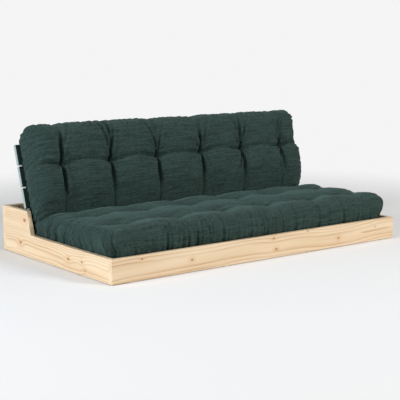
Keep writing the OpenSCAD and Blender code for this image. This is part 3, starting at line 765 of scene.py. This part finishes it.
def makeFuton():
    s = futonSizes
    rng = np.random.default_rng(s["seed"])
    skin, faces = slabMesh()
    low = np.array([-s["halfWidth"], -s["seatLength"], 0.0])
    high = np.array([s["halfWidth"], s["backLength"], s["thick"]])
    p, normal = roundedBox(skin, low, high, s["edgeRadius"])
    p[:, :2] = roundCorners(p[:, :2], low, high, s["cornerRadius"])
    isTop = skin[:, 2] > s["thick"] - 1e-6
    down = np.where(isTop, 0.0, s["thick"] - skin[:, 2])
    x, along = p[:, 0], p[:, 1]
    isBack = along > 0
    length = np.where(isBack, s["backLength"], s["seatLength"])
    v = np.abs(along) * (1 - s["thick"] * mitreSlope / length)

    # tufts, channels and creases of the top, fading down the sides
    inside, way, total = rimPlace(skin[:, 0], skin[:, 1], low[1], high[1], s["halfWidth"],
                                  s["rimCorner"])
    inside = np.where(isTop, np.clip(inside, 0, None), 0.0)
    depth = topDepth(x, v, inside, isBack, rng) * smoothstep(p[:, 2] / s["thick"] * 1.15 - 0.1)
    lumps = 0.0038 * latticeNoise(x, along, 0.12, 3) + 0.0016 * latticeNoise(x, along, 0.05, 8)
    lumps += 0.0008 * latticeNoise(x, along, (0.016, 0.055), 12)
    depth = depth + lumps * smoothstep(p[:, 2] / 0.09)

    # gathers and the sewn seam of the rim
    rim = gathers(way, inside, down, total, rng) * smoothstep(p[:, 2] / 0.03)
    creaseCalm = smoothstep((np.abs(along) - 0.01) / 0.05)
    depth = depth + rim * creaseCalm
    seam = np.where(isTop, 0.0, 0.0045 * np.exp(-((skin[:, 2] - 0.036) / 0.0022) ** 2))
    swell = np.where(isTop, 0.0, 0.0035 * np.exp(-((skin[:, 2] - 0.070) / 0.028) ** 2))
    p = p - normal * (depth + seam - swell)[:, None]

    # the fold draws the slab in to a rolled crease
    t = tuftPlan
    roll = 1 - np.clip(v / t["creaseWidth"], 0, 1)
    columns = np.array(t["columns"])
    nearTuft = np.clip(1 - np.min(np.abs(p[:, :1] - columns[None, :]), axis=1) / t["halfPitch"], 0, 1)
    rolled = 1 - np.sqrt(1 - np.minimum(roll, 1) ** 2 * 0.999)
    drawn = t["creaseDepth"] * (0.86 + 0.22 * nearTuft) * rolled
    p[:, 2] *= 1 - drawn / s["thick"] + np.where(isBack, s["backSwell"] * smoothstep(v / 0.14), 0)
    p[:, 0] *= 1 - 0.012 * roll ** 2
    endLimit = s["halfWidth"] + s["endSlack"]
    p[:, 0] = np.clip(p[:, 0], -endLimit, endLimit)

    placed = foldPoint(p[:, 0], p[:, 1], p[:, 2])
    outer = smoothstep((np.abs(skin[:, 0]) - 0.80) / 0.18)
    free = smoothstep(outsidePanels(placed[:, 1], placed[:, 2]) / s["clearBlend"])
    plumpSide = smoothstep((p[:, 2] - 0.045) / 0.075)
    bedY, bedZ = bedPlace(placed, isBack)
    room = smoothstep(outsidePanels(bedY, bedZ) / s["clearBlend"])
    placed[:, 0] += np.sign(skin[:, 0]) * outer * free * plumpSide * room * s["bulge"]
    frontward = smoothstep((-placed[:, 1] - 0.45) / 0.08)
    placed[:, 1] -= frontward * smoothstep((placed[:, 2] - boardHigh) / 0.05) * 0.006

    data = bpy.data.meshes.new("futon")
    data.from_pydata(placed.tolist(), [], faces)
    data.shade_smooth()
    # metres of cloth, rolling on round the rim
    mapX = skin[:, 0] + np.where(np.abs(skin[:, 0]) > s["halfWidth"] - 1e-6, np.sign(skin[:, 0]) * down, 0)
    atEnd = (skin[:, 1] < low[1] + 1e-6) | (skin[:, 1] > high[1] - 1e-6)
    mapY = skin[:, 1] + np.where(atEnd, np.sign(skin[:, 1]) * down, 0)
    cloth = data.uv_layers.new(name="clothMap")
    corners = np.zeros(len(data.loops), np.int32)
    data.loops.foreach_get("vertex_index", corners)
    pairs = np.stack([mapX[corners], mapY[corners]], axis=1).astype(np.float32)
    cloth.data.foreach_set("uv", pairs.ravel())
    data.materials.append(futonCover)
    made = bpy.data.objects.new("futon", data)
    bpy.context.scene.collection.objects.link(made)
    return made, skin, placed, v, isBack, isTop


futon, skin, placed, outFrom, onBack, onTop = makeFuton()
print("futon made,", len(futon.data.polygons), "faces")


# tuft ties

tieSizes = {"thread": 0.0016, "stitch": 0.011, "sides": 7, "lift": 0.0015}


def tube(points, radius, sides, vertices, faces):
    # a round thread along a line of points
    line = [Vector(p) for p in points]
    first = len(vertices)
    for k, at in enumerate(line):
        ahead = (line[min(k + 1, len(line) - 1)] - line[max(k - 1, 0)]).normalized()
        side = ahead.cross(Vector((0.3, 0.5, 0.81))).normalized()
        other = ahead.cross(side)
        for m in range(sides):
            turn = math.tau * m / sides
            vertices.append(at + side * math.cos(turn) * radius + other * math.sin(turn) * radius)
    for k in range(len(line) - 1):
        for m in range(sides):
            a, b = first + k * sides + m, first + k * sides + (m + 1) % sides
            faces.append((a, b, b + sides, a + sides))
    faces.append(tuple(first + m for m in reversed(range(sides))))
    faces.append(tuple(first + (len(line) - 1) * sides + m for m in range(sides)))


def tuftTies(name, body, node, places, inward, thick):
    # two crossed stitches in each tuft, the thread through the futon, and a knot on its underside
    vertices, faces = [], []
    t = tieSizes
    across = Vector((1, 0, 0))
    along = across.cross(inward)
    for top in places:
        top = top - inward * t["lift"]
        for way in ((across + along).normalized(), (across - along).normalized()):
            bow = [top + way * t["stitch"] * f - inward * (0.0022 * (1 - f * f) - 0.003 * abs(f) ** 3)
                   for f in np.linspace(-1, 1, 9)]
            tube(bow, t["thread"], t["sides"], vertices, faces)
        foot = top + inward * thick
        through = [top + (foot - top) * f for f in np.linspace(0, 1, 5)]
        tube(through, t["thread"], t["sides"], vertices, faces)
        loop = [foot + (across * math.cos(a) + along * math.sin(a)) * 0.004 + inward * (0.0005 * a - 0.004)
                for a in np.linspace(0, 4 * math.pi, 33)]
        tube(loop, t["thread"], t["sides"], vertices, faces)
    data = bpy.data.meshes.new(name)
    data.from_pydata(vertices, [], faces)
    data.shade_smooth()
    data.materials.append(tuftThread)
    made = bpy.data.objects.new(name, data)
    bpy.context.scene.collection.objects.link(made)
    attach(made, body)
    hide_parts(node)
    return made


def tuftPlaces(rows, back):
    # the lowest point of each tuft on the finished futon
    found = []
    for row in rows:
        for column in tuftPlan["columns"]:
            near = onTop & (onBack == back)
            gap = np.hypot(skin[:, 0] - column, outFrom - row)
            gap[~near] = 9
            found.append(Vector(placed[int(np.argmin(gap))]))
    return found


backInward = Vector((0, math.cos(lean), -math.sin(lean)))
backPlaces = tuftPlaces([tuftPlan["backRow"]], True)
seatPlaces = tuftPlaces(tuftPlan["seatRows"], False)
backGap = [(p - Vector((0, foldY, deckTop))).dot(-backInward) for p in backPlaces]
tuftTies("backTuftTies", "backrest", "back_tuft_ties", backPlaces, backInward, min(backGap) - 0.004)
tuftTies("seatTuftTies", "seat_deck", "seat_tuft_ties", seatPlaces, Vector((0, 0, -1)),
         min(p.z for p in seatPlaces) - deckTop - 0.004)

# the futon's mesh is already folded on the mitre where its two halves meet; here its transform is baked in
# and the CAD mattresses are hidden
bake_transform(futon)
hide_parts("seat_mattress", "back_mattress")
print("futon tufted")


# floor, light and camera

studio = {
    "floor": (0.812, 0.806, 0.799, 1), "floorSpeckle": (0.797, 0.791, 0.784, 1), "floorSize": 7.0,
    "backdrop": 0.912, "ambient": 0.37,
    "keyPower": 485.0, "keySize": 2.7, "keyAt": (3.1, -7.5, 4.0),
    "topPower": 24.0, "topSize": 2.4, "topAt": (0.0, -0.4, 3.4),
    "fillPower": 455.0, "fillSize": 3.2, "fillAt": (-7.3, -0.4, 2.2), "fillColour": (0.92, 1.0, 1.09),
    "cameraAt": (-3.770, -4.818, 1.220), "cameraTurn": (81.09, 0.0, -37.84), "lens": 94.41,
}


def makeFloor():
    size = studio["floorSize"]
    steps = 24
    spots = [(0, 0, 0)]
    faces = []
    for ring in range(1, 7):
        for k in range(steps):
            turn = math.tau * k / steps
            spots.append((size * ring / 6 * math.cos(turn), size * ring / 6 * math.sin(turn), 0))
    for k in range(steps):
        faces.append((0, 1 + k, 1 + (k + 1) % steps))
    for ring in range(5):
        for k in range(steps):
            a, b = 1 + ring * steps + k, 1 + ring * steps + (k + 1) % steps
            faces.append((a, a + steps, b + steps, b))
    data = bpy.data.meshes.new("studioFloor")
    data.from_pydata(spots, [], faces)
    made = bpy.data.objects.new("studioFloor", data)
    bpy.context.scene.collection.objects.link(made)
    material, tree, shader = newMaterial("paleFloor")
    place = tree.node("ShaderNodeTexCoord").outputs["Object"]
    speckle = tree.noise(place, 60.0, 3.0, 0.6)
    tree.feed(shader["Base Color"], tree.mix(tree.rescale(speckle, 0.3, 0.7, 0.0, 0.5), studio["floor"],
                                             studio["floorSpeckle"]))
    shader["Roughness"].default_value = 0.9
    shader["Specular IOR Level"].default_value = 0.0
    away = tree.vector("LENGTH", place)
    tree.feed(shader["Alpha"], tree.rescale(away, size * 0.22, size * 0.55, 1.0, 0.0, True))
    data.materials.append(material)


def makeWorld():
    world = bpy.data.worlds.new("studioWorld")
    bpy.context.scene.world = world
    world.use_nodes = True
    world.node_tree.nodes.clear()
    tree = Tree(world.node_tree)
    seen = tree.node("ShaderNodeLightPath").outputs["Is Camera Ray"]
    plain = tree.node("ShaderNodeBackground", {"Color": (1, 1, 1, 1), "Strength": studio["backdrop"]})
    lit = tree.node("ShaderNodeBackground", {"Color": (1.0, 1.0, 1.0, 1), "Strength": studio["ambient"]})
    both = tree.node("ShaderNodeMixShader", {0: seen, 1: lit.outputs[0], 2: plain.outputs[0]})
    out = tree.node("ShaderNodeOutputWorld")
    tree.feed(out.inputs["Surface"], both.outputs[0])


def makeLamp(name, power, size, at, target, colour=(1.0, 1.0, 1.0)):
    data = bpy.data.lights.new(name, "AREA")
    data.color = colour
    data.energy = power
    data.size = size
    made = bpy.data.objects.new(name, data)
    made.location = at
    made.rotation_euler = (Vector(target) - Vector(at)).to_track_quat("-Z", "Y").to_euler()
    bpy.context.scene.collection.objects.link(made)


makeFloor()
makeWorld()
makeLamp("keyLamp", studio["keyPower"], studio["keySize"], studio["keyAt"], (0, 0, 0.3))
makeLamp("topLamp", studio["topPower"], studio["topSize"], studio["topAt"], (0, -0.1, 0.2))
makeLamp("fillLamp", studio["fillPower"], studio["fillSize"], studio["fillAt"], (-0.6, 0.1, 0.2),
         studio["fillColour"])

cameraData = bpy.data.cameras.new("camera")
cameraData.sensor_width = 36.0
cameraData.lens = studio["lens"]
cameraData.clip_end = 60.0
camera = bpy.data.objects.new("camera", cameraData)
camera.location = studio["cameraAt"]
camera.rotation_euler = [math.radians(a) for a in studio["cameraTurn"]]
bpy.context.scene.collection.objects.link(camera)
bpy.context.scene.camera = camera
bpy.context.scene.view_settings.view_transform = "Standard"
print("studio made")
